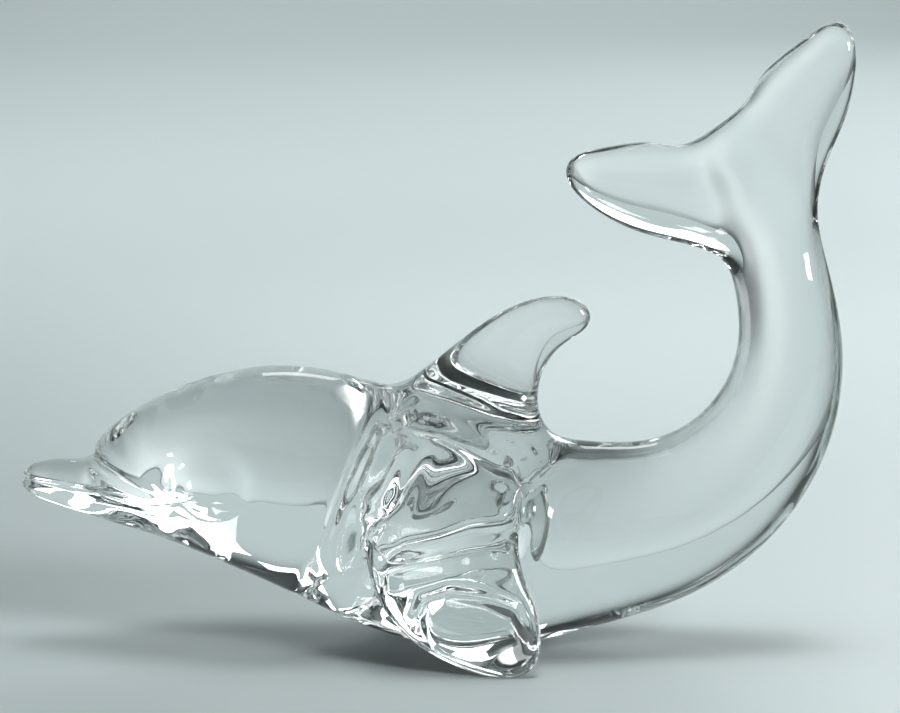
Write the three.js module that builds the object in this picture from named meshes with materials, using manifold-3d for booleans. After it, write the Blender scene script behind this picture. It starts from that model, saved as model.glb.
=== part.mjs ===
// A dolphin figurine in solid clear crystal. It rests on its belly and on the tips of both flippers, with
// its tail curled up behind it and the two fluke lobes spread at the top.
//
// Millimetres, +Z up. The dolphin faces -X, its left side is -Y, and the origin is on the flat that is ground
// under its belly, near the middle of it.
//
// The figure is one piece of glass, so it is one solid. A cage of quads carries it: a tube of rings runs from
// the beak to the tail, and the dorsal fin, the flippers and the fluke lobes are drawn out of that tube, as a
// glassmaker draws them out of the hot gather. The cage is rounded by subdivision, and then ground flat where
// it stands.
import * as THREE from "three";
import { mergeVertices } from "three/addons/utils/BufferGeometryUtils.js";
import Module from "manifold-3d";

// Body, from the beak tip to the loin. Each station gives the back and belly points of the side outline as
// [x, z], and half the width across.
const FRONT_STATIONS = [
  { back: [-109.6, 44.2], belly: [-109.2, 38.6], halfWidth: 3.4 }, // beak tip
  { back: [-105.2, 46.6], belly: [-104.6, 36.4], halfWidth: 6.4 },
  { back: [-97.5, 47.0], belly: [-96.0, 33.6], halfWidth: 7.8 },
  { back: [-93.4, 46.2], belly: [-89.5, 31.6], halfWidth: 9.4 }, // crease where the beak meets the forehead
  { back: [-91.4, 52.6], belly: [-82.5, 29.6], halfWidth: 13.0 }, // forehead
  { back: [-81.0, 60.2], belly: [-72.5, 26.4], halfWidth: 18.0 },
  { back: [-66.0, 67.0], belly: [-61.0, 21.4], halfWidth: 22.0 },
  { back: [-48.0, 70.6], belly: [-55.0, 18.7], halfWidth: 24.0 }, // crown
  { back: [-31.0, 68.2], belly: [-47.5, 15.2], halfWidth: 23.0 },
  { back: [-18.5, 63.6], belly: [-39.5, 11.2], halfWidth: 22.0 }, // shoulder, where the fins begin
  { back: [2.0, 57.0], belly: [-17.0, 0.4], halfWidth: 22.0 },
  { back: [21.0, 51.4], belly: [8.0, -1.4], halfWidth: 21.0 }, // loin, where the fins end
];
const FINS_BEGIN = 9; // index of the shoulder station
const FINS_END = 11; // index of the loin station

// Tail, as rays from the centre of its curl. Angles are from +X towards +Z.
const CURL_CENTRE = [36, 76];
const CURL_FROM_DEG = -97;
const CURL_TO_DEG = 24;
const CURL_STEPS = 5;
const CURL_INNER_RADIUS = [25.6, 31.4]; // at the loin and at the tail stock
const CURL_OUTER_RADIUS = [72.6, 54.4];
const CURL_OUTER_EASE = 1.45; // how soon the outer curve comes in to the tail stock
const CURL_HALF_WIDTH = [19.2, 7.6];

// Flukes, in a frame of their own: [along the tail's axis, out to the side], from the middle of the tail's
// end. The inner lobe reaches forward over the back, and the outer lobe is on the other side of the axis.
const FLUKE_ROOT = [72.8, 102.5];
const FLUKE_AXIS_DEG = 117.5;
const FLUKE_RINGS = [
  { along: 0, lean: 0, halfSpread: 12.0, halfWidth: 6.4 },
  { along: 14.4, lean: 0.6, halfSpread: 11.5, halfWidth: 5.6 },
  { along: 29.2, lean: 1.4, halfSpread: 9.5, halfWidth: 5.4 }, // the notch between the lobes
];
const INNER_LOBE = [
  { lead: [6.4, 19.4], trail: [34.4, 14.4], halfThickness: 4.6 },
  { lead: [15.4, 30.6], trail: [38.0, 25.6], halfThickness: 4.0 },
  { lead: [30.0, 38.6], trail: [39.6, 33.6], halfThickness: 3.2, tip: [38.0, 38.4] },
];
const OUTER_LOBE = [
  { lead: [8.4, -19.2], trail: [36.8, -14.0], halfThickness: 4.6 },
  { lead: [17.0, -31.0], trail: [38.8, -26.0], halfThickness: 4.0 },
  { lead: [31.0, -39.6], trail: [39.8, -34.8], halfThickness: 3.2, tip: [38.8, -39.8] },
];

// Dorsal fin: leading and trailing edge as [x, z] at each stage of drawing it out.
const DORSAL_FIN = [
  { lead: [-10.5, 70.8], trail: [17.2, 57.2], halfThickness: 5.0 },
  { lead: [-1.5, 78.0], trail: [17.0, 66.4], halfThickness: 3.7 },
  { lead: [10.0, 86.0], trail: [21.4, 74.6], halfThickness: 3.3 },
  { lead: [23.0, 88.4], trail: [29.4, 78.4], halfThickness: 3.0, tip: [31.6, 84.6] },
];

// Left flipper: leading and trailing edge as [x, y, z]. The right flipper is its mirror image.
const FLIPPER = [
  { lead: [-26.0, -24.0, 37.0], trail: [13.0, -25.5, 38.5], halfThickness: 10.0 }, // knuckle
  { lead: [-27.0, -27.0, 22.5], trail: [12.0, -26.5, 26.5], halfThickness: 5.2 }, // neck of the blade
  { lead: [-16.5, -30.5, 6.6], trail: [18.0, -30.0, 15.0], halfThickness: 4.6 },
  { lead: [5.0, -31.5, -1.4], trail: [17.4, -31.5, 4.6], halfThickness: 3.4, tip: [14.0, -32.0, -0.8] },
];
const FLIPPER_OUTWARD = [0, -0.86, 0.51]; // the way its outer face looks

// How a drawn-out blade is rounded at its edges: the share of the chord by which its faces stand back from
// the edge, and the thickness near the edge as a share of the thickness in the middle.
const PLATE_EDGE = { inset: 0.1, fullness: 0.9 }; // dorsal fin and flukes
const ROUND_EDGE = { inset: 0.1, fullness: 0.6 }; // flippers

// The cage. Subdivision shrinks a ring of points, so each ring is drawn larger by the swell.
const RING_SIDES = 8;
const SUBDIVISIONS = 2;
const RING_SWELL = 6 / (4 + 2 * Math.cos((2 * Math.PI) / RING_SIDES));
const BEAK_CAP = -111.4; // x of the cage's point in front of the beak
const NOTCH_CAP = 29.0; // the cage's point in the notch, along the tail's axis
const GRINDING = { length: 400, width: 200, depth: 40 }; // what is ground away below the floor

const lerp = THREE.MathUtils.lerp;
const sidePoint = ([x, z]) => new THREE.Vector3(x, 0, z);

// A ring of points around a station, from the back down the left side to the belly and up the right side.
function ring({ back, belly, halfWidth }) {
  const top = sidePoint(back);
  const bottom = sidePoint(belly);
  const centre = top.clone().add(bottom).multiplyScalar(0.5);
  const rise = top.clone().sub(centre).multiplyScalar(RING_SWELL);
  return Array.from({ length: RING_SIDES }, (_, k) => {
    const turn = (2 * Math.PI * k) / RING_SIDES;
    const across = -halfWidth * RING_SWELL * Math.sin(turn);
    return centre.clone().addScaledVector(rise, Math.cos(turn)).add(new THREE.Vector3(0, across, 0));
  });
}

// The stations of the tail, on rays that sweep round the centre of its curl.
function curlStations() {
  return Array.from({ length: CURL_STEPS + 1 }, (_, i) => {
    const t = i / CURL_STEPS;
    const angle = THREE.MathUtils.degToRad(lerp(CURL_FROM_DEG, CURL_TO_DEG, t));
    const inner = lerp(...CURL_INNER_RADIUS, t);
    const outer = lerp(...CURL_OUTER_RADIUS, 1 - (1 - t) ** CURL_OUTER_EASE);
    const onRay = (radius) => [
      CURL_CENTRE[0] + radius * Math.cos(angle),
      CURL_CENTRE[1] + radius * Math.sin(angle),
    ];
    return { back: onRay(inner), belly: onRay(outer), halfWidth: lerp(...CURL_HALF_WIDTH, t) };
  });
}

// A point of the fluke frame in the side view. Positive sides are the inner lobe's.
function flukePoint([along, aside]) {
  const angle = THREE.MathUtils.degToRad(FLUKE_AXIS_DEG);
  return [
    FLUKE_ROOT[0] + along * Math.cos(angle) - aside * Math.sin(angle),
    FLUKE_ROOT[1] + along * Math.sin(angle) + aside * Math.cos(angle),
  ];
}

function flukeStations() {
  return FLUKE_RINGS.map(({ along, lean, halfSpread, halfWidth }) => ({
    back: flukePoint([along - lean, halfSpread]),
    belly: flukePoint([along + lean, -halfSpread]),
    halfWidth,
  }));
}

// One stage of a drawn-out blade, as a function of the place in the patch that it is drawn from: u runs from
// the leading to the trailing edge, and v from the first face over the edge to the other.
function bladeSection({ lead, trail, halfThickness, tip }, { from, to, firstFace, place, edge }) {
  return (u, v) => {
    const side = 1 - v;
    const chord = u / (to - from);
    if (tip && side === 0 && chord === 0.5) return place(tip);
    const inset = side === 0 ? 0 : edge.inset;
    const fullness = lerp(1, edge.fullness, Math.abs(2 * chord - 1));
    return place(lead)
      .lerp(place(trail), lerp(inset, 1 - inset, chord))
      .addScaledVector(firstFace, side * halfThickness * fullness);
  };
}

// A closed cage of quads, made of rings that are bridged, capped and drawn out.
class Cage {
  points = [];
  faces = [];

  add(point) {
    return this.points.push(point) - 1;
  }

  // Bridges the stations' rings into a tube that is open at both ends, and leaves out the patches that are
  // to be drawn out.
  tube(stations, patches) {
    const rings = stations.map((station) => ring(station).map((point) => this.add(point)));
    const drawn = (i, k) =>
      patches.some(({ from, to, side }) => {
        const turn = (k - side + RING_SIDES) % RING_SIDES;
        return i >= from && i < to && turn < 2;
      });
    for (let i = 0; i + 1 < rings.length; i++) {
      for (let k = 0; k < RING_SIDES; k++) {
        const next = (k + 1) % RING_SIDES;
        if (drawn(i, k)) continue;
        this.faces.push([rings[i][k], rings[i][next], rings[i + 1][next], rings[i + 1][k]]);
      }
    }
    return rings;
  }

  // Closes a ring with four quads around a middle point.
  cap(loop, middle) {
    const centre = this.add(middle);
    for (let k = 0; k < loop.length; k += 2) {
      this.faces.push([centre, loop[k], loop[k + 1], loop[(k + 2) % loop.length]]);
    }
  }

  // Draws the patch between two rings out through the given sections, and closes it at the tip.
  drawOut(rings, { from, to, side }, sections) {
    const spans = to - from;
    const grid = (pointAt) =>
      Array.from({ length: spans + 1 }, (_, u) => Array.from({ length: 3 }, (_, v) => pointAt(u, v)));
    const rim = (g) => [
      ...g[0],
      ...g.slice(1).map((row) => row[2]),
      g[spans][1],
      ...g.map((row) => row[0]).slice(1).reverse(),
    ];
    let last = grid((u, v) => rings[from + u][(side + v) % RING_SIDES]);
    for (const section of sections) {
      // The middle of a section is inside the glass, and only its rim is kept until the tip.
      const points = grid(section);
      const rimPoints = new Set(rim(points));
      const isTip = section === sections.at(-1);
      const next = points.map((row) => row.map((p) => (isTip || rimPoints.has(p) ? this.add(p) : null)));
      const [a, b] = [rim(last), rim(next)];
      a.forEach((_, j) => {
        const k = (j + 1) % a.length;
        this.faces.push([a[j], a[k], b[k], b[j]]);
      });
      last = next;
    }
    for (let u = 0; u < spans; u++) {
      for (let v = 0; v < 2; v++) {
        this.faces.push([last[u][v], last[u][v + 1], last[u + 1][v + 1], last[u + 1][v]]);
      }
    }
  }

  // One round of Catmull-Clark subdivision.
  subdivided() {
    const fine = new Cage();
    const average = (points) =>
      points.reduce((sum, p) => sum.add(p), new THREE.Vector3()).divideScalar(points.length);
    const middles = this.faces.map((face) => average(face.map((i) => this.points[i])));
    const edges = new Map();
    const around = this.points.map(() => ({ middles: [], edges: [] }));
    this.faces.forEach((face, f) => {
      face.forEach((a, j) => {
        const b = face[(j + 1) % face.length];
        const key = a < b ? `${a},${b}` : `${b},${a}`;
        if (!edges.has(key)) {
          const middle = average([this.points[a], this.points[b]]);
          edges.set(key, { middle, sides: [] });
          around[a].edges.push(middle);
          around[b].edges.push(middle);
        }
        edges.get(key).sides.push(middles[f]);
        around[a].middles.push(middles[f]);
      });
    });
    const corner = this.points.map((p, i) => {
      const n = around[i].middles.length;
      const pull = average(around[i].middles).addScaledVector(average(around[i].edges), 2);
      return fine.add(pull.addScaledVector(p, n - 3).divideScalar(n));
    });
    for (const edge of edges.values()) {
      edge.point = fine.add(average([edge.middle, average(edge.sides)]));
    }
    this.faces.forEach((face, f) => {
      const middle = fine.add(middles[f]);
      const edgePoints = face.map((a, j) => {
        const b = face[(j + 1) % face.length];
        return edges.get(a < b ? `${a},${b}` : `${b},${a}`).point;
      });
      face.forEach((a, j) => {
        const before = edgePoints[(j + face.length - 1) % face.length];
        fine.faces.push([corner[a], edgePoints[j], middle, before]);
      });
    });
    return fine;
  }

  geometry() {
    const triangles = this.faces.flatMap(([a, b, c, d]) => [a, b, c, a, c, d]);
    return new THREE.BufferGeometry().setFromPoints(this.points).setIndex(triangles);
  }
}

// The whole figure before grinding.
function figure() {
  const stations = [...FRONT_STATIONS, ...curlStations(), ...flukeStations()];
  const fins = { from: FINS_BEGIN, to: FINS_END };
  const flukes = { from: stations.length - FLUKE_RINGS.length, to: stations.length - 1 };
  const left = new THREE.Vector3(0, -1, 0);
  const right = new THREE.Vector3(0, 1, 0);
  const leftOutward = new THREE.Vector3(...FLIPPER_OUTWARD).normalize();
  const rightInward = new THREE.Vector3(-leftOutward.x, leftOutward.y, -leftOutward.z);
  const onLeft = ([x, y, z]) => new THREE.Vector3(x, y, z);
  const onRight = ([x, y, z]) => new THREE.Vector3(x, -y, z);
  const onFlukes = (point) => sidePoint(flukePoint(point));
  // Each blade is drawn out of a patch that is two sides wide, and starts at the side that is named: 0 is the
  // back, 2 the left side and 4 the belly. Its first face is what the patch's first edge becomes.
  const blades = [
    { ...fins, side: 7, stages: DORSAL_FIN, firstFace: right, place: sidePoint, edge: PLATE_EDGE },
    { ...fins, side: 1, stages: FLIPPER, firstFace: leftOutward, place: onLeft, edge: ROUND_EDGE },
    { ...fins, side: 5, stages: FLIPPER, firstFace: rightInward, place: onRight, edge: ROUND_EDGE },
    { ...flukes, side: 7, stages: INNER_LOBE, firstFace: right, place: onFlukes, edge: PLATE_EDGE },
    { ...flukes, side: 3, stages: OUTER_LOBE, firstFace: left, place: onFlukes, edge: PLATE_EDGE },
  ];
  const cage = new Cage();
  const rings = cage.tube(stations, blades);
  const beakTip = FRONT_STATIONS[0];
  const beakHeight = (beakTip.back[1] + beakTip.belly[1]) / 2;
  cage.cap([...rings[0]].reverse(), sidePoint([BEAK_CAP, beakHeight]));
  cage.cap(rings.at(-1), sidePoint(flukePoint([NOTCH_CAP, 0])));
  for (const blade of blades) {
    const sections = blade.stages.map((stage) => bladeSection(stage, blade));
    cage.drawOut(rings, blade, sections);
  }
  return Array.from({ length: SUBDIVISIONS }).reduce((finer) => finer.subdivided(), cage).geometry();
}

const wasm = await Module();
wasm.setup();

function solidOf(geometry) {
  const bare = geometry.clone();
  bare.deleteAttribute("normal");
  bare.deleteAttribute("uv");
  const merged = mergeVertices(bare);
  return new wasm.Manifold(
    new wasm.Mesh({
      numProp: 3,
      vertProperties: new Float32Array(merged.attributes.position.array),
      triVerts: new Uint32Array(merged.index.array),
    }),
  );
}

function geometryOf(solid) {
  const { vertProperties, triVerts } = solid.getMesh();
  const geometry = new THREE.BufferGeometry()
    .setAttribute("position", new THREE.BufferAttribute(vertProperties, 3))
    .setIndex(new THREE.BufferAttribute(triVerts, 1));
  geometry.computeVertexNormals();
  return geometry;
}

// Everything below the floor is ground away, which leaves the flats that the figure stands on.
const grinder = new THREE.BoxGeometry(GRINDING.length, GRINDING.width, GRINDING.depth);
grinder.translate(0, 0, -GRINDING.depth / 2);

const crystal = new THREE.MeshStandardMaterial({
  color: 0xeaf1f0,
  roughness: 0.02,
  metalness: 0,
  transparent: true,
  opacity: 0.35,
});

const dolphin = new THREE.Mesh(geometryOf(solidOf(figure()).subtract(solidOf(grinder))), crystal);
dolphin.name = "dolphin";

const part = new THREE.Group();
part.add(dolphin);

export default part;
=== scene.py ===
"""A dolphin figurine in solid clear crystal, on a pale floor in soft studio light.

The dolphin faces -X, its left side is -Y, and it stands on z = 0. The figurine and the camera are in
millimetres, and are turned into Blender's metres once, when they are placed. The studio is in metres.
"""

import logging
import math
from dataclasses import dataclass, field
from enum import Enum

import bmesh
import bpy
import numpy as np
from mathutils import Matrix, Vector


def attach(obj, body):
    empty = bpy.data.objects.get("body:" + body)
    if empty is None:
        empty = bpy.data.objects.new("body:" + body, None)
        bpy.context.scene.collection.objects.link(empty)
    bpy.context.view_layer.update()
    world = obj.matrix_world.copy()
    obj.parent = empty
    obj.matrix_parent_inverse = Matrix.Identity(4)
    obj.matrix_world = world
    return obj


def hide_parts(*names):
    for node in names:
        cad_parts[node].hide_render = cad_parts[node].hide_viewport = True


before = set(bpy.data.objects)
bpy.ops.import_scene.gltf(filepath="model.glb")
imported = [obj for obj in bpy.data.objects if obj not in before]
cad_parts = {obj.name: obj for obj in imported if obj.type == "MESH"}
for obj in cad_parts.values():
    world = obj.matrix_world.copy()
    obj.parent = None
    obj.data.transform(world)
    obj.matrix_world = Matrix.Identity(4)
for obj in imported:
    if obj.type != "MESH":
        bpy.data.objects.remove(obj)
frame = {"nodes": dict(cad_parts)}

LOG = logging.getLogger("dolphin")
MM = 0.001

Point2 = tuple[float, float]
Point3 = tuple[float, float, float]
Span = tuple[float, float]
Colour = tuple[float, float, float, float]


class Side(Enum):
    """A side of the dolphin, as the sign of its Y."""

    LEFT = -1
    RIGHT = 1


class RingSide(Enum):
    """The places round a ring of the body where a blade's patch begins."""

    LEFT_FLANK = 1
    BELLY = 3
    RIGHT_FLANK = 5
    BACK = 7


# Subdivision shrinks a ring of points, so each ring is drawn larger by the swell.
RING_SIDES = 8
PATCH_SIDES = 2
RING_SWELL = 6 / (4 + 2 * math.cos(2 * math.pi / RING_SIDES))


def lerp(a: float, b: float, t: float) -> float:
    """Value at share t of the way from a to b."""
    return a + (b - a) * t


def side_point(point: Point2) -> Vector:
    """Point of the side view, given as (x, z), in the plane that halves the dolphin."""
    return Vector((point[0], 0.0, point[1]))


@dataclass(frozen=True)
class Station:
    """A ring of the body: its back and belly points in the side view, and half its width across, in mm."""

    back: Point2
    belly: Point2
    half_width: float

    def matrix(self) -> Matrix:
        """Place of a unit ring at this station.

        Returns:
            The matrix that carries a circle in the XY plane to the ring, with its top on the back.
        """
        top = side_point(self.back)
        bottom = side_point(self.belly)
        rise = (top - bottom) * (RING_SWELL / 2)
        across = Vector((0.0, self.half_width * RING_SWELL, 0.0))
        ahead = across.cross(rise).normalized()
        place = Matrix((across, rise, ahead)).transposed().to_4x4()
        place.translation = (top + bottom) / 2
        return place


@dataclass(frozen=True)
class Stage:
    """One stage of drawing a blade out: its leading and trailing edge and half its thickness, in mm."""

    lead: Point3
    trail: Point3
    half_thickness: float
    tip: Point3 | None = None


@dataclass(frozen=True)
class Blade:
    """A fin, flipper or fluke lobe that is drawn out of a patch of the body.

    At its edges its faces stand back by a share of the chord, and its thickness is a share of the middle's.
    The seam is how sharp the line is where it meets the body, from 0 to 1.
    """

    name: str
    begin: int
    end: int
    root: RingSide
    stages: tuple[Stage, ...]
    first_face: Vector
    edge_fullness: float = 0.6
    seam: float = 0.0
    edge_inset: float = 0.1

    def place(self, stage: Stage, station: int, side: int) -> Vector:
        """Where a stage puts the point that began at a place of the patch.

        Args:
            stage: The stage that the blade is drawn to.
            station: The body's station that the point began at.
            side: The side of the ring that the point began at.

        Returns:
            The point, in mm.
        """
        chord = (station - self.begin) / (self.end - self.begin)
        face = 1 - (side - self.root.value) % RING_SIDES
        if stage.tip is not None and face == 0 and chord == 0.5:
            return Vector(stage.tip)
        inset = 0.0 if face == 0 else self.edge_inset
        fullness = lerp(1.0, self.edge_fullness, abs(2 * chord - 1))
        along = Vector(stage.lead).lerp(Vector(stage.trail), lerp(inset, 1 - inset, chord))
        return along + self.first_face * (face * stage.half_thickness * fullness)


@dataclass(frozen=True)
class TailCurl:
    """The tail, as rays that sweep round the centre of its curl, in mm and degrees from +X towards +Z.

    A span gives a value at the loin and at the tail stock.
    """

    centre: Point2 = (36.0, 76.0)
    sweep_deg: Span = (-97.0, 24.0)
    steps: int = 5
    inner_radius: Span = (25.6, 31.4)
    outer_radius: Span = (72.6, 54.4)
    outer_ease: float = 1.45
    half_width: Span = (19.2, 7.6)

    def stations(self) -> list[Station]:
        """Stations from the loin to the tail stock."""
        return [self.station(i / self.steps) for i in range(self.steps + 1)]

    def station(self, t: float) -> Station:
        """Station at share t of the sweep.

        Args:
            t: 0 at the loin and 1 at the tail stock.

        Returns:
            The station.
        """
        angle = math.radians(lerp(*self.sweep_deg, t))
        inner = lerp(*self.inner_radius, t)
        outer = lerp(*self.outer_radius, 1 - (1 - t) ** self.outer_ease)
        return Station(self.on_ray(angle, inner), self.on_ray(angle, outer), lerp(*self.half_width, t))

    def on_ray(self, angle: float, radius: float) -> Point2:
        """Point at a radius from the curl's centre."""
        return (self.centre[0] + radius * math.cos(angle), self.centre[1] + radius * math.sin(angle))


@dataclass(frozen=True)
class FlukeRing:
    """A ring of the tail's end, in the flukes' own frame.

    The lean is how far its inner end lies back along the axis, and its outer end forward.
    """

    along: float
    lean: float
    half_spread: float
    half_width: float


@dataclass(frozen=True)
class LobeStage:
    """A stage of drawing a fluke lobe out, in the flukes' own frame."""

    lead: Point2
    trail: Point2
    half_thickness: float
    tip: Point2 | None = None


@dataclass(frozen=True)
class Flukes:
    """The tail's end and its two lobes, in mm, in a frame of their own.

    A point there is given along the tail's axis, and out to the side of the inner lobe.
    """

    root: Point2 = (72.8, 102.5)
    axis_deg: float = 117.5
    notch: float = 29.0
    rings: tuple[FlukeRing, ...] = (
        FlukeRing(along=0.0, lean=0.0, half_spread=12.0, half_width=6.4),
        FlukeRing(along=14.4, lean=0.6, half_spread=11.5, half_width=5.6),
        FlukeRing(along=29.2, lean=1.4, half_spread=9.5, half_width=5.4),
    )
    inner_lobe: tuple[LobeStage, ...] = (
        LobeStage((6.4, 19.4), (34.4, 14.4), 4.6),
        LobeStage((15.4, 30.6), (38.0, 25.6), 4.0),
        LobeStage((30.0, 38.6), (39.6, 33.6), 3.2, (38.0, 38.4)),
    )
    outer_lobe: tuple[LobeStage, ...] = (
        LobeStage((8.4, -19.2), (36.8, -14.0), 4.6),
        LobeStage((17.0, -31.0), (38.8, -26.0), 4.0),
        LobeStage((31.0, -39.6), (39.8, -34.8), 3.2, (38.8, -39.8)),
    )

    def point(self, along: float, aside: float) -> Point2:
        """Point of the fluke frame, in the side view.

        Args:
            along: How far along the tail's axis.
            aside: How far out to the inner lobe's side.

        Returns:
            The point as (x, z).
        """
        angle = math.radians(self.axis_deg)
        return (
            self.root[0] + along * math.cos(angle) - aside * math.sin(angle),
            self.root[1] + along * math.sin(angle) + aside * math.cos(angle),
        )

    def stations(self) -> list[Station]:
        """Stations from the tail stock to the notch.

        Returns:
            A station for each ring.
        """
        return [
            Station(
                self.point(ring.along - ring.lean, ring.half_spread),
                self.point(ring.along + ring.lean, -ring.half_spread),
                ring.half_width,
            )
            for ring in self.rings
        ]

    def stages(self, lobe: tuple[LobeStage, ...]) -> tuple[Stage, ...]:
        """Stages of a lobe.

        Args:
            lobe: The lobe's stages in the fluke frame.

        Returns:
            The stages in the dolphin's frame.
        """

        def placed(point: Point2 | None) -> Point3 | None:
            """Point of the lobe in the dolphin's frame."""
            return point and tuple(side_point(self.point(*point)))

        return tuple(
            Stage(placed(s.lead), placed(s.trail), s.half_thickness, placed(s.tip)) for s in lobe
        )


@dataclass(frozen=True)
class Groove:
    """A line that is pressed into the soft glass on both sides, along points of the side view, in mm.

    A negative depth raises a wave. A line with flank_from lies only on glass that is further out than that
    and looks outwards, and it fades at both ends. Any other line fades at its last end.
    """

    name: str
    path: tuple[Point2, ...]
    width: float
    depth: float
    fade: float = 5.0
    flank_from: float | None = None
    end_share: float = 0.2
    flank_gain: float = 2.5

    def depths(self, points: np.ndarray, normals: np.ndarray) -> np.ndarray:
        """How deep the groove is at each point.

        Args:
            points: Points of the surface in mm, one row each.
            normals: The surface's normals there.

        Returns:
            A depth in mm for each point.
        """
        flat = points[:, [0, 2]]
        nearest = np.full(len(flat), np.inf)
        for a, b in zip(self.path, self.path[1:]):
            start, run = np.array(a), np.subtract(b, a)
            share = np.clip((flat - start) @ run / (run @ run), 0.0, 1.0)
            gap = np.linalg.norm(flat - start - share[:, None] * run, axis=1)
            nearest = np.minimum(nearest, gap)
        ends = self.path[-1:] if self.flank_from is None else (self.path[0], self.path[-1])
        depth = self.depth * np.exp(-((nearest / self.width) ** 2))
        for end in ends:
            reach = np.linalg.norm(flat - np.array(end), axis=1) / self.fade
            depth *= np.clip(self.end_share + reach, 0.0, 1.0)
        if self.flank_from is not None:
            outward = normals[:, 1] * np.sign(points[:, 1])
            on_flank = np.abs(points[:, 1]) > self.flank_from
            depth *= np.clip(outward * self.flank_gain, 0.0, 1.0) * on_flank
        return depth


@dataclass(frozen=True)
class Eye:
    """An almond line for the lids on each side of the head, round a shallow hollow, in mm.

    The lids' width is a share of the almond, whose power sets how pointed its corners are.
    """

    centre: Point2 = (-62.0, 38.3)
    half_length: float = 7.5
    half_height: float = 3.0
    power: float = 1.5
    hollow: float = 0.2
    lid_depth: float = 0.8
    lid_width: float = 0.3
    tilt_deg: float = -6.0
    least_outward: float = 0.2

    def depths(self, points: np.ndarray, normals: np.ndarray) -> np.ndarray:
        """How deep the eye is at each point.

        Args:
            points: Points of the surface in mm, one row each.
            normals: The surface's normals there.

        Returns:
            A depth in mm for each point.
        """
        turn = math.radians(self.tilt_deg)
        x = points[:, 0] - self.centre[0]
        z = points[:, 2] - self.centre[1]
        along = (x * math.cos(turn) + z * math.sin(turn)) / self.half_length
        across = (z * math.cos(turn) - x * math.sin(turn)) / self.half_height
        reach = np.abs(along) ** self.power + np.abs(across) ** self.power
        lids = self.lid_depth * np.exp(-(((reach - 1.0) / self.lid_width) ** 2))
        ball = self.hollow * np.clip(1.0 - reach, 0.0, 1.0)
        return (lids + ball) * (np.abs(normals[:, 1]) > self.least_outward)


@dataclass(frozen=True)
class FineRegion:
    """A box of the figurine, the same on both sides, whose mesh is cut finer, in mm."""

    low: Point3
    high: Point3
    cuts: int

    def holds(self, point: Vector) -> bool:
        """Whether a point of the mesh, in metres, is inside, on either side."""
        there = (point.x / MM, abs(point.y) / MM, point.z / MM)
        return all(a <= value <= b for a, value, b in zip(self.low, there, self.high))


class RippleGroup:
    """Shader effect: the slow waves that hand tools leave in hot glass."""

    NAME = "hand_worked_ripple"
    INPUTS = {"Broad Scale": 60.0, "Fine Scale": 240.0, "Fine Share": 0.15}
    DETAIL = 1.0

    @classmethod
    def get(cls) -> bpy.types.ShaderNodeTree:
        """Node group with a broad and a fine wave, built once.

        Returns:
            The group, with inputs for the waves' scales and share, and an output Height.
        """
        if cls.NAME in bpy.data.node_groups:
            return bpy.data.node_groups[cls.NAME]
        group = bpy.data.node_groups.new(cls.NAME, "ShaderNodeTree")
        sockets = group.interface
        for name, value in cls.INPUTS.items():
            sockets.new_socket(name, in_out="INPUT", socket_type="NodeSocketFloat").default_value = value
        sockets.new_socket("Height", in_out="OUTPUT", socket_type="NodeSocketFloat")
        nodes, links = group.nodes, group.links
        given = nodes.new("NodeGroupInput")
        result = nodes.new("NodeGroupOutput")
        place = nodes.new("ShaderNodeTexCoord")
        broad = nodes.new("ShaderNodeTexNoise")
        fine = nodes.new("ShaderNodeTexNoise")
        for wave, scale in ((broad, "Broad Scale"), (fine, "Fine Scale")):
            wave.inputs["Detail"].default_value = cls.DETAIL
            links.new(place.outputs["Object"], wave.inputs["Vector"])
            links.new(given.outputs[scale], wave.inputs["Scale"])
        mix = nodes.new("ShaderNodeMix")
        links.new(given.outputs["Fine Share"], mix.inputs["Factor"])
        links.new(broad.outputs["Fac"], mix.inputs["A"])
        links.new(fine.outputs["Fac"], mix.inputs["B"])
        links.new(mix.outputs["Result"], result.inputs["Height"])
        return group


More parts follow.
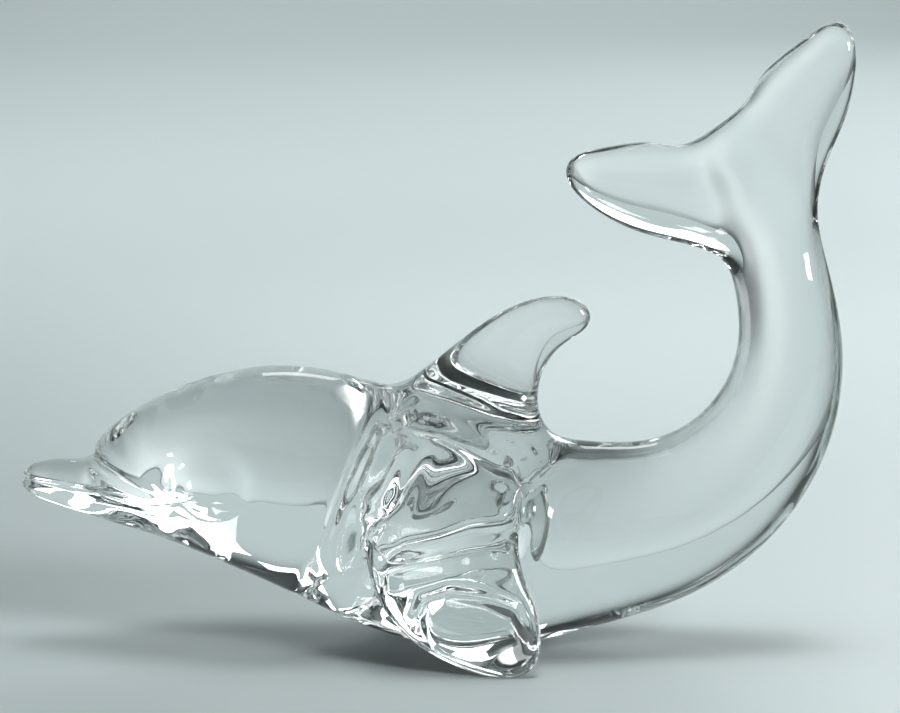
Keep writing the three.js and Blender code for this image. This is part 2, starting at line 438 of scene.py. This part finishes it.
@dataclass(frozen=True)
class CrystalFinish:
    """Clear lead crystal, fire-polished, with the faintest grey-green where it is thick."""

    name: str = "clear_crystal"
    ior: float = 1.545
    roughness: float = 0.0
    clear: Colour = (0.985, 0.992, 0.990, 1.0)
    veiled: Colour = (0.955, 0.972, 0.968, 1.0)
    veil_scale: float = 18.0
    thickness_colour: Colour = (0.80, 0.90, 0.88, 1.0)
    thickness_density: float = 3.0
    ripple_strength: float = 0.12
    ripple_distance_mm: float = 0.6
    broad_scale: float = 55.0
    fine_scale: float = 210.0

    def material(self) -> bpy.types.Material:
        """Builds the finish.

        Returns:
            The material.
        """
        material = bpy.data.materials.new(self.name)
        material.use_nodes = True
        nodes, links = material.node_tree.nodes, material.node_tree.links
        shader = nodes["Principled BSDF"]
        shader.inputs["Transmission Weight"].default_value = 1.0
        shader.inputs["IOR"].default_value = self.ior
        shader.inputs["Roughness"].default_value = self.roughness
        shader.inputs["Metallic"].default_value = 0.0

        place = nodes.new("ShaderNodeTexCoord")
        veil = nodes.new("ShaderNodeTexNoise")
        veil.inputs["Scale"].default_value = self.veil_scale
        tint = nodes.new("ShaderNodeMix")
        tint.data_type = "RGBA"
        tint.inputs["A"].default_value = self.clear
        tint.inputs["B"].default_value = self.veiled
        links.new(place.outputs["Object"], veil.inputs["Vector"])
        links.new(veil.outputs["Fac"], tint.inputs["Factor"])
        links.new(tint.outputs["Result"], shader.inputs["Base Color"])

        ripple = nodes.new("ShaderNodeGroup")
        ripple.node_tree = RippleGroup.get()
        ripple.inputs["Broad Scale"].default_value = self.broad_scale
        ripple.inputs["Fine Scale"].default_value = self.fine_scale
        bump = nodes.new("ShaderNodeBump")
        bump.inputs["Strength"].default_value = self.ripple_strength
        bump.inputs["Distance"].default_value = self.ripple_distance_mm * MM
        links.new(ripple.outputs["Height"], bump.inputs["Height"])
        links.new(bump.outputs["Normal"], shader.inputs["Normal"])

        depth = nodes.new("ShaderNodeVolumeAbsorption")
        depth.inputs["Color"].default_value = self.thickness_colour
        depth.inputs["Density"].default_value = self.thickness_density
        links.new(depth.outputs["Volume"], nodes["Material Output"].inputs["Volume"])
        return material


@dataclass(frozen=True)
class BoardFinish:
    """Matt studio board, pale behind the figurine and grey around it where shade is painted on, in metres.

    The pale part is a wedge that widens towards the back and begins a little in front of the figurine.
    Outside it the grey is painted shade, which stands in for the dim studio beyond the lit floor.
    """

    name: str = "pale_board_painted_shade"
    light: Colour = (0.69, 0.79, 0.80, 1.0)
    dark: Colour = (0.66, 0.765, 0.775, 1.0)
    # Painted shade: the board's colour outside the pale wedge, standing in for the dim studio around it.
    grey: Colour = (0.38, 0.434, 0.441, 1.0)
    mottle_scale: float = 3.0
    roughness: float = 0.45
    specular: float = 0.25
    pale_half_width: float = 0.135
    pale_front: float = -0.1
    widening: float = 0.1335
    fade: float = 0.12

    def material(self) -> bpy.types.Material:
        """Builds the finish.

        Returns:
            The material.
        """
        material = bpy.data.materials.new(self.name)
        material.use_nodes = True
        nodes, links = material.node_tree.nodes, material.node_tree.links
        shader = nodes["Principled BSDF"]
        shader.inputs["Roughness"].default_value = self.roughness
        shader.inputs["Specular IOR Level"].default_value = self.specular
        place = nodes.new("ShaderNodeTexCoord")
        mottle = nodes.new("ShaderNodeTexNoise")
        mottle.inputs["Scale"].default_value = self.mottle_scale
        pale = nodes.new("ShaderNodeMix")
        pale.data_type = "RGBA"
        pale.inputs["A"].default_value = self.light
        pale.inputs["B"].default_value = self.dark
        # Mixes in the painted shade, which turns the board grey outside the pale wedge.
        painted_shade_mix = nodes.new("ShaderNodeMix")
        painted_shade_mix.data_type = "RGBA"
        painted_shade_mix.inputs["B"].default_value = self.grey
        links.new(place.outputs["Object"], mottle.inputs["Vector"])
        links.new(mottle.outputs["Fac"], pale.inputs["Factor"])
        links.new(pale.outputs["Result"], painted_shade_mix.inputs["A"])
        links.new(self.painted_shade_share(material.node_tree, place.outputs["Object"]), painted_shade_mix.inputs["Factor"])
        links.new(painted_shade_mix.outputs["Result"], shader.inputs["Base Color"])
        return material

    def painted_shade_share(self, tree: bpy.types.NodeTree, place: bpy.types.NodeSocket) -> bpy.types.NodeSocket:
        """How much painted shade greys the board at a place.

        Args:
            tree: The material's nodes.
            place: The socket with the place on the board.

        Returns:
            The socket with 0 in the pale wedge and 1 well outside it.
        """
        nodes, links = tree.nodes, tree.links
        split = nodes.new("ShaderNodeSeparateXYZ")
        aside = nodes.new("ShaderNodeMath")
        aside.operation = "ABSOLUTE"
        past_middle = nodes.new("ShaderNodeMath")
        past_middle.operation = "MULTIPLY_ADD"
        past_middle.inputs[1].default_value = -self.widening
        ahead = nodes.new("ShaderNodeMath")
        ahead.operation = "SUBTRACT"
        ahead.inputs[0].default_value = self.pale_half_width + self.pale_front
        furthest = nodes.new("ShaderNodeMath")
        furthest.operation = "MAXIMUM"
        share = nodes.new("ShaderNodeMapRange")
        share.interpolation_type = "SMOOTHSTEP"
        share.inputs["From Min"].default_value = self.pale_half_width
        share.inputs["From Max"].default_value = self.pale_half_width + self.fade
        links.new(place, split.inputs["Vector"])
        links.new(split.outputs["X"], aside.inputs[0])
        links.new(split.outputs["Y"], past_middle.inputs[0])
        links.new(aside.outputs["Value"], past_middle.inputs[2])
        links.new(split.outputs["Y"], ahead.inputs[1])
        links.new(past_middle.outputs["Value"], furthest.inputs[0])
        links.new(ahead.outputs["Value"], furthest.inputs[1])
        links.new(furthest.outputs["Value"], share.inputs["Value"])
        return share.outputs["Result"]


@dataclass
class Dolphin:
    """The figurine: a body of rings, with blades drawn out of it and lines pressed into it, in mm.

    Its cage is rounded, cut finer where lines are pressed in, and laid on the same cage rounded more often.
    """

    node: str = "dolphin"
    name: str = "crystal_dolphin"
    rounding: int = 3
    fine_rounding: int = 5
    evening: int = 3
    front: tuple[Station, ...] = (
        Station((-109.6, 44.2), (-109.2, 38.6), 3.4),  # beak tip
        Station((-105.2, 46.6), (-104.6, 36.4), 6.4),
        Station((-97.5, 47.0), (-96.0, 33.6), 7.8),
        Station((-93.4, 46.2), (-89.5, 31.6), 9.4),  # crease where the beak meets the forehead
        Station((-91.4, 52.6), (-82.5, 29.6), 13.0),  # forehead
        Station((-81.0, 60.2), (-72.5, 26.4), 18.0),
        Station((-66.0, 67.0), (-61.0, 21.4), 22.0),
        Station((-48.0, 70.6), (-55.0, 18.7), 24.0),  # crown
        Station((-31.0, 68.2), (-47.5, 15.2), 23.0),
        Station((-18.5, 63.6), (-39.5, 11.2), 22.0),  # shoulder, where the fins begin
        Station((2.0, 57.0), (-17.0, 0.4), 22.0),
        Station((21.0, 51.4), (8.0, -1.4), 21.0),  # loin, where the fins end
    )
    shoulder: int = 9
    loin: int = 11
    beak_cap: Point2 = (-111.4, 41.4)
    dorsal: tuple[Stage, ...] = (
        Stage((-10.5, 0.0, 70.8), (17.2, 0.0, 57.2), 5.0),
        Stage((-1.5, 0.0, 78.0), (17.0, 0.0, 66.4), 3.7),
        Stage((10.0, 0.0, 86.0), (21.4, 0.0, 74.6), 3.3),
        Stage((23.0, 0.0, 88.4), (29.4, 0.0, 78.4), 3.0, (31.6, 0.0, 84.6)),
    )
    flipper: tuple[Stage, ...] = (
        Stage((-26.0, -24.0, 37.0), (13.0, -25.5, 38.5), 10.0),  # knuckle
        Stage((-27.0, -27.0, 22.5), (12.0, -26.5, 26.5), 5.2),  # neck of the blade
        Stage((-16.5, -30.5, 6.6), (18.0, -30.0, 15.0), 4.6),
        Stage((5.0, -31.5, -1.4), (17.4, -31.5, 4.6), 3.4, (14.0, -32.0, -0.8)),
    )
    flipper_outward: Point3 = (0.0, -0.86, 0.51)
    seam: float = 0.2
    plate_fullness: float = 0.9
    curl: TailCurl = field(default_factory=TailCurl)
    flukes: Flukes = field(default_factory=Flukes)
    lines: tuple[Groove, ...] = (
        Groove(
            "mouth",
            (
                (-112.0, 42.2), (-103.3, 41.6), (-94.8, 40.6), (-87.6, 39.2), (-80.3, 38.0), (-74.2, 38.4),
                (-68.6, 41.0),
            ),
            width=0.9,
            depth=1.0,
        ),
        Groove(
            "brow",
            ((-93.6, 48.8), (-88.4, 46.6), (-83.6, 44.2), (-78.8, 41.9), (-74.0, 40.0)),
            width=1.3,
            depth=0.8,
        ),
        Groove(
            "saddle_seam",
            (
                (-17.9, 60.7), (-16.4, 59.5), (-7.3, 56.8), (-0.2, 53.7), (6.5, 49.3), (11.8, 46.3),
                (15.4, 45.6), (19.5, 48.0), (23.3, 51.0),
            ),
            width=1.9,
            depth=2.2,
            fade=3.0,
            flank_from=8.0,
        ),
        Groove(
            "knuckle_rear",
            ((15.2, 47.3), (13.8, 44.4), (12.9, 41.0), (13.1, 37.1), (11.9, 33.2), (9.1, 30.7)),
            width=1.8,
            depth=2.0,
            flank_from=12.0,
        ),
        Groove(
            "valley",
            ((-25.0, 20.2), (-21.6, 23.9), (-16.4, 26.3), (-7.6, 28.3), (0.0, 30.3), (9.1, 31.0)),
            width=2.6,
            depth=3.0,
            flank_from=12.0,
        ),
        Groove(
            "front_hollow",
            ((-17.3, 67.4), (-23.1, 59.4), (-28.4, 49.7), (-33.5, 36.2), (-38.1, 21.4)),
            width=5.0,
            depth=1.6,
            flank_from=6.0,
        ),
        Groove(
            "front_wave",
            ((-19.7, 58.6), (-25.0, 48.9), (-29.8, 39.1), (-32.5, 30.5), (-33.3, 20.7)),
            width=2.8,
            depth=-1.4,
            flank_from=12.0,
        ),
        Groove(
            "middle_wave",
            ((-15.9, 56.6), (-19.7, 47.4), (-23.5, 38.3), (-26.0, 31.0), (-26.0, 23.7)),
            width=2.6,
            depth=1.7,
            flank_from=12.0,
        ),
        Groove(
            "knuckle_wave",
            ((-10.6, 55.7), (-14.0, 48.5), (-16.8, 41.5), (-19.7, 37.8), (-25.9, 36.1)),
            width=2.4,
            depth=1.5,
            flank_from=12.0,
        ),
        Groove(
            "knuckle_ridge",
            ((8.1, 50.1), (9.7, 42.9), (6.9, 38.0), (-0.2, 37.5), (-7.3, 35.1), (-15.6, 33.2), (-21.1, 29.3)),
            width=3.0,
            depth=-1.8,
            flank_from=12.0,
        ),
        Groove(
            "blade_rim",
            (
                (-12.1, 9.0), (-13.1, 13.9), (-11.1, 18.3), (-5.4, 20.5), (3.8, 19.3), (10.7, 16.8),
                (15.1, 9.0),
            ),
            width=1.6,
            depth=2.0,
            flank_from=20.0,
        ),
    )
    fine_regions: tuple[FineRegion, ...] = (
        FineRegion((-120.0, 0.0, 20.0), (-52.0, 40.0, 80.0), 1),  # head
        FineRegion((-40.0, 10.0, 3.0), (26.0, 40.0, 62.0), 2),  # roots of the flippers
    )
    eye: Eye = field(default_factory=Eye)

    def stations(self) -> list[Station]:
        """All rings, from the beak tip to the notch of the flukes."""
        return [*self.front, *self.curl.stations(), *self.flukes.stations()]

    def blades(self) -> list[Blade]:
        """Works out the blades.

        Returns:
            The dorsal fin, both flippers and both fluke lobes.
        """
        fins = (self.shoulder, self.loin)
        last = len(self.stations()) - 1
        ends = (last - len(self.flukes.rings) + 1, last)
        left, right = Vector((0.0, -1.0, 0.0)), Vector((0.0, 1.0, 0.0))
        inner = self.flukes.stages(self.flukes.inner_lobe)
        outer = self.flukes.stages(self.flukes.outer_lobe)
        return [
            Blade("dorsal_fin", *fins, RingSide.BACK, self.dorsal, right, self.plate_fullness, self.seam),
            self.flipper_blade(Side.LEFT),
            self.flipper_blade(Side.RIGHT),
            Blade("inner_lobe", *ends, RingSide.BACK, inner, right, self.plate_fullness),
            Blade("outer_lobe", *ends, RingSide.BELLY, outer, left, self.plate_fullness),
        ]

    def flipper_blade(self, side: Side) -> Blade:
        """Flipper of one side.

        Args:
            side: The side that it is on.

        Returns:
            The blade. Its first face looks out on the left side, and in on the right side.
        """
        mirror = -side.value

        def turned(point: Point3 | None) -> Point3 | None:
            """Point on the flipper's own side."""
            return point and (point[0], point[1] * mirror, point[2])

        stages = tuple(
            Stage(turned(s.lead), turned(s.trail), s.half_thickness, turned(s.tip)) for s in self.flipper
        )
        outward = Vector(self.flipper_outward).normalized()
        first_face = outward if side is Side.LEFT else Vector((0.0, outward.y, -outward.z))
        root = RingSide.LEFT_FLANK if side is Side.LEFT else RingSide.RIGHT_FLANK
        return Blade(f"{side.name.lower()}_flipper", self.shoulder, self.loin, root, stages, first_face)

    def build(self) -> bpy.types.Object:
        """Models the figurine.

        Returns:
            The finished object, at the origin.
        """
        shape = bmesh.new()
        self.loft_body(shape)
        for blade in self.blades():
            self.draw_out(shape, blade)
            LOG.info("blade: %s", blade.name)
        bmesh.ops.recalc_face_normals(shape, faces=shape.faces)
        mesh = self.rounded(shape)
        self.press_lines(mesh)
        for polygon in mesh.polygons:
            polygon.use_smooth = True
        piece = bpy.data.objects.new(self.name, mesh)
        bpy.context.scene.collection.objects.link(piece)
        return piece

    def loft_body(self, shape: bmesh.types.BMesh) -> None:
        """Draws a ring through every station and closes both ends.

        Args:
            shape: The empty mesh, which gets the body's cage, in mm.
        """
        station_of = shape.verts.layers.int.new("station")
        side_of = shape.verts.layers.int.new("side")
        places = [station.matrix() for station in self.stations()]
        circle = bmesh.ops.create_circle(shape, segments=RING_SIDES, radius=1.0, matrix=places[0])
        for side, vert in enumerate(circle["verts"]):
            vert[side_of] = side
        first = edges = list(shape.edges)
        for index, (before, after) in enumerate(zip(places, places[1:]), start=1):
            grown = bmesh.ops.extrude_edge_only(shape, edges=edges)["geom"]
            ring = [g for g in grown if isinstance(g, bmesh.types.BMVert)]
            edges = [g for g in grown if isinstance(g, bmesh.types.BMEdge)]
            bmesh.ops.transform(shape, matrix=after @ before.inverted(), verts=ring)
            for vert in ring:
                vert[station_of] = index
        self.cap(shape, first, 0, side_point(self.beak_cap))
        self.cap(shape, edges, 1, side_point(self.flukes.point(self.flukes.notch, 0.0)))

    def cap(
        self, shape: bmesh.types.BMesh, rim: list[bmesh.types.BMEdge], corner: int, middle: Vector
    ) -> None:
        """Closes a ring with a small grid.

        Args:
            shape: The mesh.
            rim: The ring's edges.
            corner: The side of the ring where the grid has its first corner.
            middle: Where the grid's middle point goes.
        """
        side_of = shape.verts.layers.int["side"]
        rails = []
        for edge in rim:
            low, high = sorted(vert[side_of] for vert in edge.verts)
            turn = (low if high - low == 1 else high) - corner
            if turn % (2 * PATCH_SIDES) < PATCH_SIDES:
                rails.append(edge)
        around = {vert for edge in rim for vert in edge.verts}
        faces = bmesh.ops.grid_fill(shape, edges=rails)["faces"]
        for vert in {vert for face in faces for vert in face.verts} - around:
            vert.co = middle

    def draw_out(self, shape: bmesh.types.BMesh, blade: Blade) -> None:
        """Extrudes a blade from its patch of the body, stage by stage.

        Args:
            shape: The mesh.
            blade: The blade.
        """
        station_of = shape.verts.layers.int["station"]
        side_of = shape.verts.layers.int["side"]
        creases = shape.edges.layers.float
        crease_of = creases.get("crease_edge") or creases.new("crease_edge")
        sides = {(blade.root.value + i) % RING_SIDES for i in range(PATCH_SIDES + 1)}
        stations = set(range(blade.begin, blade.end + 1))
        patch = []
        for face in shape.faces:
            around = {vert[side_of] for vert in face.verts}
            along = {vert[station_of] for vert in face.verts}
            if len(around) == len(along) == 2 and around <= sides and along <= stations:
                patch.append(face)
        for edge in {edge for face in patch for edge in face.edges}:
            if sum(face in patch for face in edge.link_faces) == 1:
                edge[crease_of] = max(edge[crease_of], blade.seam)
        for stage in blade.stages:
            grown = bmesh.ops.extrude_face_region(shape, geom=patch)["geom"]
            bmesh.ops.delete(shape, geom=patch, context="FACES")
            patch = [g for g in grown if isinstance(g, bmesh.types.BMFace)]
            for edge in {edge for face in patch for edge in face.edges}:
                edge[crease_of] = 0.0
            for vert in (g for g in grown if isinstance(g, bmesh.types.BMVert)):
                vert.co = blade.place(stage, vert[station_of], vert[side_of])

    def rounded(self, shape: bmesh.types.BMesh) -> bpy.types.Mesh:
        """Rounds the cage by subdivision and brings it to metres.

        Args:
            shape: The cage in mm, which is freed.

        Returns:
            The fine mesh.
        """
        bmesh.ops.scale(shape, vec=Vector((MM, MM, MM)), verts=shape.verts)
        cage = bpy.data.meshes.new("cage")
        shape.to_mesh(cage)
        shape.free()
        surface = self.subdivided("surface", cage, self.fine_rounding)
        fine = self.evaluated(self.subdivided("coarse", cage, self.rounding))
        self.cut_finer(fine)
        holder = bpy.data.objects.new("fine", fine)
        bpy.context.scene.collection.objects.link(holder)
        fit = holder.modifiers.new("fit", "SHRINKWRAP")
        fit.target = surface
        fit.wrap_method = "NEAREST_SURFACEPOINT"
        smooth = self.evaluated(holder)
        bpy.data.objects.remove(surface)
        smooth.name = self.name
        return smooth

    def subdivided(self, name: str, cage: bpy.types.Mesh, levels: int) -> bpy.types.Object:
        """Object that rounds the cage.

        Args:
            name: The object's name.
            cage: The cage.
            levels: How often it is subdivided.

        Returns:
            The object.
        """
        holder = bpy.data.objects.new(name, cage)
        bpy.context.scene.collection.objects.link(holder)
        rounding = holder.modifiers.new("rounding", "SUBSURF")
        rounding.levels = rounding.render_levels = levels
        return holder

    def evaluated(self, holder: bpy.types.Object) -> bpy.types.Mesh:
        """Mesh that an object's modifiers make.

        Args:
            holder: The object, which is removed.

        Returns:
            The mesh.
        """
        graph = bpy.context.evaluated_depsgraph_get()
        mesh = bpy.data.meshes.new_from_object(holder.evaluated_get(graph))
        bpy.data.objects.remove(holder)
        return mesh

    def cut_finer(self, mesh: bpy.types.Mesh) -> None:
        """Cuts the mesh finer where lines are pressed in.

        Args:
            mesh: The mesh, in metres.
        """
        shape = bmesh.new()
        shape.from_mesh(mesh)
        for region in self.fine_regions:
            inside = {vert for vert in shape.verts if region.holds(vert.co)}
            edges = [edge for edge in shape.edges if all(vert in inside for vert in edge.verts)]
            bmesh.ops.subdivide_edges(shape, edges=edges, cuts=region.cuts, use_grid_fill=True)
        shape.to_mesh(mesh)
        shape.free()

    def press_lines(self, mesh: bpy.types.Mesh) -> None:
        """Presses the lines and the eyes in, and grinds off what is below the floor.

        Args:
            mesh: The fine mesh, in metres.
        """
        count = len(mesh.vertices)
        points = np.empty(count * 3)
        normals = np.empty(count * 3)
        mesh.vertices.foreach_get("co", points)
        mesh.vertex_normals.foreach_get("vector", normals)
        points, normals = points.reshape(-1, 3) / MM, normals.reshape(-1, 3)
        depth = self.eye.depths(points, normals)
        for line in self.lines:
            depth += line.depths(points, normals)
            LOG.info("line: %s", line.name)
        links = np.empty(len(mesh.edges) * 2, dtype=int)
        mesh.edges.foreach_get("vertices", links)
        depth = self.evened(depth, links.reshape(-1, 2))
        points = points - normals * depth[:, None]
        points[:, 2] = np.maximum(points[:, 2], 0.0)
        mesh.vertices.foreach_set("co", (points * MM).ravel())
        mesh.update()

    def evened(self, depth: np.ndarray, links: np.ndarray) -> np.ndarray:
        """Evens the depths out between neighbours, as hot glass flows together.

        Args:
            depth: A depth for each point.
            links: The two points of each edge.

        Returns:
            The evened depths.
        """
        ends = np.concatenate((links[:, 0], links[:, 1]))
        others = np.concatenate((links[:, 1], links[:, 0]))
        count = np.bincount(ends, minlength=len(depth))
        for _ in range(self.evening):
            around = np.bincount(ends, weights=depth[others], minlength=len(depth)) / count
            depth = (depth + around) / 2
        return depth

    def dress(self, piece: bpy.types.Object, finish: CrystalFinish) -> None:
        """Gives the figurine its finish and its place in the frame.

        Args:
            piece: The figurine.
            finish: The crystal.
        """
        piece.data.materials.clear()
        piece.data.materials.append(finish.material())
        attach(piece, "root")
        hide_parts(self.node)


def aim(holder: bpy.types.Object, position: Vector, target: Vector) -> None:
    """Puts a light or the camera into the scene, turned to its target.

    Args:
        holder: The object.
        position: Its place, in metres.
        target: What it looks at, in metres.
    """
    holder.location = position
    holder.rotation_euler = (target - position).to_track_quat("-Z", "Y").to_euler()
    bpy.context.scene.collection.objects.link(holder)


@dataclass(frozen=True)
class Softbox:
    """A soft studio light, in metres and watts. One that isn't mirrored leaves no reflection of its panel."""

    name: str
    position: Point3
    target: Point3
    size: Point2
    power: float
    spread_deg: float = 180.0
    mirrored: bool = True

    def build(self) -> bpy.types.Object:
        """Hangs the light.

        Returns:
            The light's object.
        """
        lamp = bpy.data.lights.new(self.name, "AREA")
        lamp.shape = "RECTANGLE"
        lamp.size, lamp.size_y = self.size
        lamp.energy = self.power
        lamp.spread = math.radians(self.spread_deg)
        holder = bpy.data.objects.new(self.name, lamp)
        holder.visible_glossy = self.mirrored
        aim(holder, Vector(self.position), Vector(self.target))
        return holder


@dataclass
class Studio:
    """The pale floor, the soft lights and the surroundings that the glass shows."""

    floor_low: Point2 = (-1.3, -1.2)
    floor_high: Point2 = (1.3, 3.3)
    floor_drop_mm: float = 0.05
    board: BoardFinish = field(default_factory=BoardFinish)
    lights: tuple[Softbox, ...] = (
        Softbox("key_light", (0.70, -0.85, 0.74), (0.0, 0.0, 0.04), (0.36, 0.3), 2.1, 120.0, mirrored=False),
        Softbox("spark_light", (1.02, -0.80, 0.42), (0.05, 0.0, 0.09), (0.26, 0.22), 0.22, 40.0),
        Softbox("window_light", (0.68, 1.75, 0.78), (0.0, 0.2, 0.0), (0.7, 0.8), 2.45, 110.0),
        Softbox("rim_light", (0.0, 1.3, 1.18), (0.0, 0.0, 0.05), (0.5, 0.26), 0.4, 100.0),
        Softbox("back_light", (0.0, 2.35, 1.0), (0.0, 2.35, 0.0), (1.3, 3.8), 8.9, 60.0),
        Softbox("ceiling_light", (0.0, 0.3, 1.9), (0.0, 0.3, 0.0), (1.2, 1.6), 3.6, mirrored=False),
        Softbox("top_light", (0.06, 0.12, 0.8), (0.06, 0.12, 0.0), (0.34, 0.9), 0.42, 40.0, mirrored=False),
    )
    dome_back: Colour = (0.60, 0.70, 0.705, 1.0)
    dome_front: Colour = (0.02, 0.023, 0.023, 1.0)
    dome_from: float = 0.6
    dome_to: float = 0.92
    dome_strength: float = 0.9

    def build(self) -> None:
        """Lays the floor, hangs the lights and sets the surroundings."""
        floor = self.lay_floor()
        LOG.info("stage: %s", floor.name)
        for light in self.lights:
            LOG.info("light: %s", light.build().name)
        self.surround()

    def lay_floor(self) -> bpy.types.Object:
        """Makes the floor.

        Returns:
            The floor's object.
        """
        shape = bmesh.new()
        low, high = Vector(self.floor_low), Vector(self.floor_high)
        half = (high - low) / 2
        spread = Matrix.Diagonal((half.x, half.y, 1.0, 1.0))
        place = Matrix.Translation((*((low + high) / 2), -self.floor_drop_mm * MM))
        bmesh.ops.create_grid(shape, x_segments=1, y_segments=1, size=1.0, matrix=place @ spread)
        mesh = bpy.data.meshes.new("pale_floor")
        shape.to_mesh(mesh)
        shape.free()
        mesh.materials.append(self.board.material())
        floor = bpy.data.objects.new("pale_floor", mesh)
        bpy.context.scene.collection.objects.link(floor)
        return floor

    def surround(self) -> None:
        """Sets the surroundings, bright behind the figurine and dim on its other sides."""
        world = bpy.data.worlds.new("studio")
        world.use_nodes = True
        bpy.context.scene.world = world
        nodes, links = world.node_tree.nodes, world.node_tree.links
        sky = nodes["Background"]
        sky.inputs["Strength"].default_value = self.dome_strength
        place = nodes.new("ShaderNodeTexCoord")
        split = nodes.new("ShaderNodeSeparateXYZ")
        share = nodes.new("ShaderNodeMapRange")
        share.interpolation_type = "SMOOTHSTEP"
        share.inputs["From Min"].default_value = self.dome_from
        share.inputs["From Max"].default_value = self.dome_to
        blend = nodes.new("ShaderNodeMix")
        blend.data_type = "RGBA"
        blend.inputs["A"].default_value = self.dome_front
        blend.inputs["B"].default_value = self.dome_back
        links.new(place.outputs["Generated"], split.inputs["Vector"])
        links.new(split.outputs["Y"], share.inputs["Value"])
        links.new(share.outputs["Result"], blend.inputs["Factor"])
        links.new(blend.outputs["Result"], sky.inputs["Color"])


@dataclass(frozen=True)
class Viewpoint:
    """The camera: a long lens that looks a little down on the figurine from its left side, in mm."""

    lens: float = 135.0
    sensor: float = 36.0
    target: Point3 = (-4.958, 0.0, 72.122)
    distance: float = 824.176
    down_deg: float = 10.0
    sight_m: float = 100.0

    def build(self) -> bpy.types.Object:
        """Sets the camera up.

        Returns:
            The camera's object.
        """
        lens = bpy.data.cameras.new("portrait")
        lens.lens = self.lens
        lens.sensor_width = self.sensor
        lens.sensor_fit = "HORIZONTAL"
        lens.clip_end = self.sight_m
        camera = bpy.data.objects.new("portrait", lens)
        down = math.radians(self.down_deg)
        target = Vector(self.target)
        position = target + self.distance * Vector((0.0, -math.cos(down), math.sin(down)))
        aim(camera, position * MM, target * MM)
        bpy.context.scene.camera = camera
        return camera


@dataclass(frozen=True)
class LightPaths:
    """How far light is followed through the many faces of the glass."""

    bounces: int = 32
    glossy_bounces: int = 16

    def apply(self) -> None:
        """Sets the bounces, keeps the glass's shadow dark and shows colours as they are lit."""
        scene = bpy.context.scene
        scene.cycles.max_bounces = self.bounces
        scene.cycles.transmission_bounces = self.bounces
        scene.cycles.glossy_bounces = self.glossy_bounces
        scene.cycles.caustics_refractive = False
        scene.view_settings.view_transform = "Standard"


def main() -> None:
    """Builds the camera, the studio and the figurine."""
    logging.basicConfig(level=logging.INFO, format="%(name)s: %(message)s")
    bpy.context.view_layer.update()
    LOG.info("frame: %s", ", ".join(frame["nodes"]))
    LOG.info("camera: %s", Viewpoint().build().name)
    Studio().build()
    LightPaths().apply()
    dolphin = Dolphin()
    piece = dolphin.build()
    dolphin.dress(piece, CrystalFinish())
    LOG.info("piece: %s, %d faces", piece.name, len(piece.data.polygons))


if __name__ == "__main__":
    main()
